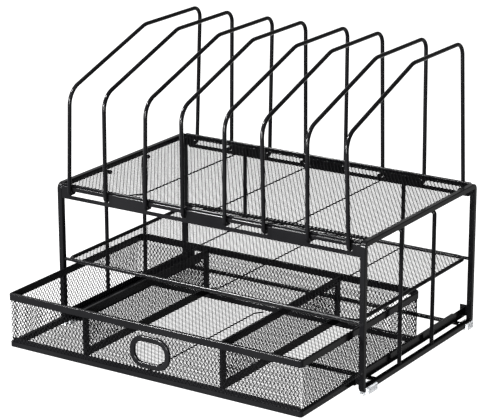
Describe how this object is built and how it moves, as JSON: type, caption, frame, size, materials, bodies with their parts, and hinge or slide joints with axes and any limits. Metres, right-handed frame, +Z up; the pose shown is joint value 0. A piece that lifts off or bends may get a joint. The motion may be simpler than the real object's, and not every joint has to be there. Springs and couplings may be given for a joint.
{
  "type": "desktop file sorter",
  "caption": "Black steel mesh desk organizer with a row of upright wire dividers on a mesh tray, a mesh letter shelf below it and a sliding compartment drawer.",
  "frame": {"origin": "on the desk under the middle of the whole object's box, with the drawer standing partly open", "axes": "+Z up, front (drawer pull) faces -Y, +X to the viewer's right when facing the front"},
  "size_m": [0.3604, 0.3232, 0.2945],
  "materials": {
    "black_steel": "satin black powder coat",
    "black_wire": "semi-gloss black powder coat",
    "black_mesh": "satin black coated expanded metal",
    "clear_plastic": "translucent soft plastic"
  },
  "bodies": {
    "organizer_frame": {"divider_1": "black_wire", "divider_2": "black_wire", "divider_3": "black_wire", "divider_4": "black_wire", "divider_5": "black_wire", "divider_6": "black_wire", "divider_7": "black_wire", "divider_8": "black_wire", "foot_front_left": "clear_plastic", "foot_front_right": "clear_plastic", "foot_rear_left": "clear_plastic", "foot_rear_right": "clear_plastic", "front_apron": "black_steel", "front_cross_bar": "black_wire", "left_guard_wire_front": "black_wire", "left_guard_wire_rear": "black_wire", "left_runner": "black_steel", "left_side_frame": "black_steel", "rear_apron": "black_steel", "rear_cross_bar": "black_wire", "rear_guard_wire_left": "black_wire", "rear_guard_wire_right": "black_wire", "right_guard_wire_front": "black_wire", "right_guard_wire_rear": "black_wire", "right_runner": "black_steel", "right_side_frame": "black_steel", "shelf_mesh": "black_mesh", "shelf_ribs": "black_wire", "shelf_wire": "black_wire", "tray_front_edge_wire": "black_wire", "tray_mesh": "black_mesh", "tray_rear_edge_wire": "black_wire", "tray_ribs": "black_wire"},
    "drawer": {"drawer_bottom_rim": "black_steel", "drawer_floor_mesh": "black_mesh", "drawer_floor_rib": "black_wire", "drawer_front_mesh": "black_mesh", "drawer_left_mesh": "black_mesh", "drawer_rear_mesh": "black_mesh", "drawer_right_mesh": "black_mesh", "drawer_top_rim": "black_steel", "finger_pull": "black_steel", "partition_left_frame": "black_steel", "partition_left_mesh": "black_mesh", "partition_right_frame": "black_steel", "partition_right_mesh": "black_mesh"}
  },
  "joints": [
    {"name": "drawer_slide", "type": "slide", "parent": "organizer_frame", "child": "drawer", "axis": [0, -1, 0], "range_m": [-0.0895, 0.065]}
  ]
}
